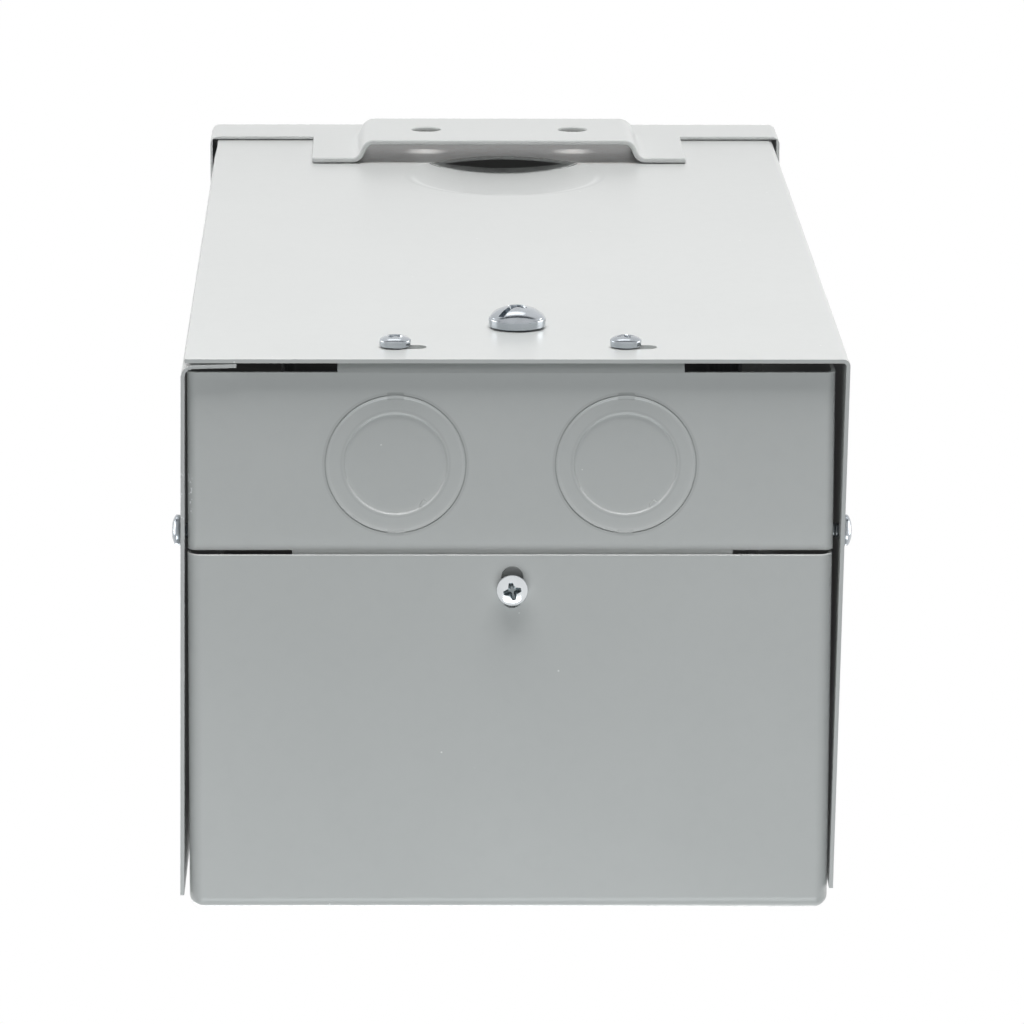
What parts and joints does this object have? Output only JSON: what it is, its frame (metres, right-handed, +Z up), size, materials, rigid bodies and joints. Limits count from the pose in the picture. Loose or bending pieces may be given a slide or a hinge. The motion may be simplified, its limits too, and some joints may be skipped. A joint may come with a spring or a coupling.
{
  "type": "manual transfer switch",
  "caption": "Wall-mounted outdoor steel transfer switch: knockout end plate, hanger strap, rain hood, lift-up door and two breakers joined by a sliding interlock.",
  "frame": {"origin": "middle of the hanger strap's outer face, which lies flat on the wall", "axes": "+Z up along the box towards its rain hood, +Y into the wall, so the front cover faces -Y and +X is to the right seen from the front"},
  "size_m": [0.173, 0.168, 0.3625],
  "materials": {
    "paint": "light grey powder coat, satin, fine orange peel",
    "zinc": "bright clear zinc plate",
    "galvanised": "galvanised sheet",
    "case_plastic": "moulded black thermoset",
    "handle_plastic": "moulded black, semi-gloss",
    "base_plastic": "moulded dark brown phenolic",
    "plate_enamel": "red enamel on steel",
    "aluminium": "tin-plated aluminium extrusion",
    "copper": "bright copper strap"
  },
  "bodies": {
    "enclosure": {"back_screw_left": "zinc", "back_screw_right": "zinc", "back_wrap": "paint", "bottom_end_wall": "paint", "cover_screw": "zinc", "dead_front": "paint", "dead_front_bracket_left": "galvanised", "dead_front_bracket_right": "galvanised", "dead_front_screw_left": "zinc", "dead_front_screw_right": "zinc", "front_cover": "paint", "generator_breaker_case": "case_plastic", "generator_lug_l1": "aluminium", "generator_lug_l2": "aluminium", "generator_lug_screw_l1": "zinc", "generator_lug_screw_l2": "zinc", "generator_toggle_pin": "zinc", "ground_bar": "aluminium", "ground_bar_screw_1": "zinc", "ground_bar_screw_2": "zinc", "ground_screw": "zinc", "hanger_strap": "paint", "hinge_leaf": "paint", "hinge_pin": "zinc", "hinge_rivet_left": "zinc", "hinge_rivet_right": "zinc", "insulating_base": "base_plastic", "load_bus_a": "copper", "load_bus_b": "copper", "load_lug_a": "aluminium", "load_lug_b": "aluminium", "load_lug_screw_a": "zinc", "load_lug_screw_b": "zinc", "mounting_pan": "galvanised", "neutral_bar": "aluminium", "neutral_insulator": "base_plastic", "neutral_screw_1": "zinc", "neutral_screw_2": "zinc", "neutral_screw_3": "zinc", "padlock_staple": "zinc", "right_side_wall": "paint", "side_screw_left": "zinc", "side_screw_right": "zinc", "slider_rivet_left": "zinc", "slider_rivet_right": "zinc", "top_hood": "paint", "utility_breaker_case": "case_plastic", "utility_lug_l1": "aluminium", "utility_lug_l2": "aluminium", "utility_lug_screw_l1": "zinc", "utility_lug_screw_l2": "zinc", "utility_toggle_pin": "zinc"},
    "door": {"weather_door": "paint"},
    "utility_handle": {"utility_toggle": "handle_plastic"},
    "generator_handle": {"generator_toggle": "handle_plastic"},
    "interlock": {"interlock_slider": "plate_enamel"}
  },
  "joints": [
    {"name": "door_hinge", "type": "hinge", "parent": "enclosure", "child": "door", "pos_m": [0, -0.1545, -0.061], "axis": [-1, 0, 0], "range_deg": [0, 110]},
    {"name": "interlock_slide", "type": "slide", "parent": "enclosure", "child": "interlock", "axis": [0, 0, -1], "range_m": [0, 0.01051]},
    {"name": "utility_pivot", "type": "hinge", "parent": "enclosure", "child": "utility_handle", "pos_m": [0, -0.1185, -0.106], "axis": [1, 0, 0], "range_deg": [0, 44.1]},
    {"name": "generator_pivot", "type": "hinge", "parent": "enclosure", "child": "generator_handle", "pos_m": [0, -0.1185, -0.186], "axis": [1, 0, 0], "range_deg": [0, 44.1]}
  ],
  "couplings": [
    {"joint": "utility_pivot", "follows": "interlock_slide", "rad_per_m": 73.105},
    {"joint": "generator_pivot", "follows": "interlock_slide", "rad_per_m": 73.105}
  ]
}
